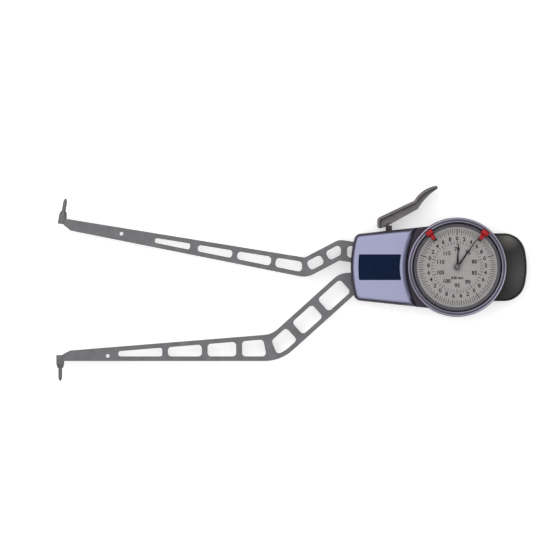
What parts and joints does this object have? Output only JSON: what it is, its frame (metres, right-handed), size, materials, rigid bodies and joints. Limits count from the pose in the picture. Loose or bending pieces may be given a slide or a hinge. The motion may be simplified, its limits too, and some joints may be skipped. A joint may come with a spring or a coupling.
{
  "type": "inside caliper gauge",
  "caption": "Dial inside caliper gauge with two long pierced arms, thumb lever, rotating dial bezel and movable tolerance markers.",
  "frame": {"origin": "dial axis where it meets the flat back face of the housing", "axes": "+X from the arms towards the palm rest, +Y towards the thumb lever, +Z out of the dial towards the reader"},
  "size_m": [0.3109, 0.129, 0.029],
  "materials": {
    "housing_paint": "satin",
    "plate_navy": "satin",
    "arm_grey": "satin",
    "lever_grey": "satin",
    "palm_black": "matte",
    "bezel_metal": "polished",
    "dial_face": "matte",
    "ring_grey": "matte",
    "seal_black": "matte",
    "crystal_clear": "polished",
    "marker_red": "gloss",
    "hand_black": "satin",
    "hub_grey": "brushed",
    "steel": "brushed",
    "spring_steel": "polished",
    "brass": "brushed",
    "hard_metal": "polished",
    "screw_black": "satin"
  },
  "bodies": {
    "housing": {"back_shell": "housing_paint", "front_shell": "housing_paint", "face_plate": "plate_navy", "palm_rest": "palm_black", "base_plate": "steel", "bridge": "steel", "bridge_pillars": "steel", "bridge_screws": "steel", "arm_root_screws": "steel", "shell_screws": "screw_black", "palm_screws": "steel", "fixed_arm": "arm_grey", "fixed_contact": "steel", "fixed_contact_ball": "hard_metal", "pivot_bush_back": "brass", "pivot_bush_front": "brass", "stop_pins": "steel", "lever_pin": "steel", "train_bushes_back": "brass", "train_bushes_front": "brass", "minute_stud": "steel", "arm_spring": "spring_steel", "spring_anchor": "brass", "hairspring": "spring_steel", "hairspring_stud": "brass", "snap_ring": "spring_steel"},
    "moving_arm": {"moving_arm": "arm_grey", "moving_contact": "steel", "moving_contact_ball": "hard_metal", "sector": "brass", "sector_screws": "steel", "pivot_shaft": "steel", "pivot_clip": "spring_steel", "drive_pin": "steel"},
    "thumb_lever": {"thumb_lever": "lever_grey"},
    "pinion_arbor": {"pinion_arbor": "steel", "second_wheel": "brass", "hairspring_collet": "brass"},
    "centre_arbor": {"centre_arbor": "steel", "cannon_pinion": "steel", "long_hand": "hand_black", "hand_cap": "hub_grey"},
    "minute_wheel": {"minute_wheel": "brass", "minute_pinion": "steel"},
    "hour_wheel": {"hour_wheel": "brass", "short_hand": "hand_black"},
    "bezel": {"bezel": "bezel_metal", "crystal": "crystal_clear", "crystal_seal": "seal_black", "dial_ring": "ring_grey", "dial": "dial_face"},
    "left_marker": {"left_marker": "marker_red"},
    "right_marker": {"right_marker": "marker_red"}
  },
  "joints": [
    {"name": "arm_swing", "type": "hinge", "parent": "housing", "child": "moving_arm", "pos_m": [-0.045, 0.0055, 0.0092], "axis": [0, 0, 1], "range_deg": [0, 13.37], "stiffness_Nm_per_rad": 0.25, "springref_deg": -40.11, "deforming": ["arm_spring"]},
    {"name": "lever_press", "type": "hinge", "parent": "housing", "child": "thumb_lever", "pos_m": [-0.045, 0.0195, 0.0108], "axis": [0, 0, 1], "range_deg": [-20.68, 0]},
    {"name": "pinion_turn", "type": "hinge", "parent": "housing", "child": "pinion_arbor", "pos_m": [-0.00766, 0.00627, 0.0125], "axis": [0, 0, 1], "range_deg": [-319.51, 0], "deforming": ["hairspring"]},
    {"name": "long_hand_turn", "type": "hinge", "parent": "housing", "child": "centre_arbor", "pos_m": [0, 0, 0.0135], "axis": [0, 0, 1], "range_deg": [0, 3634.28]},
    {"name": "minute_turn", "type": "hinge", "parent": "housing", "child": "minute_wheel", "pos_m": [-0.00363, -0.00169, 0.0175], "axis": [0, 0, 1], "range_deg": [-1211.44, 0]},
    {"name": "short_hand_turn", "type": "hinge", "parent": "housing", "child": "hour_wheel", "pos_m": [0, 0, 0.019], "axis": [0, 0, 1], "range_deg": [0, 363.45]},
    {"name": "bezel_turn", "type": "hinge", "parent": "housing", "child": "bezel", "pos_m": [0, 0, 0.0235], "axis": [0, 0, 1], "continuous": true},
    {"name": "left_marker_slide", "type": "hinge", "parent": "bezel", "child": "left_marker", "pos_m": [0, 0, 0.0275], "axis": [0, 0, 1], "range_deg": [-30, 130]},
    {"name": "right_marker_slide", "type": "hinge", "parent": "bezel", "child": "right_marker", "pos_m": [0, 0, 0.0275], "axis": [0, 0, 1], "range_deg": [-130, 30]}
  ],
  "couplings": [
    {"joint": "lever_press", "follows": "arm_swing", "ratio": -1.5455},
    {"joint": "pinion_turn", "follows": "arm_swing", "ratio": -23.9},
    {"joint": "long_hand_turn", "follows": "arm_swing", "ratio": 271.86},
    {"joint": "minute_turn", "follows": "arm_swing", "ratio": -90.621},
    {"joint": "short_hand_turn", "follows": "arm_swing", "ratio": 27.186}
  ]
}
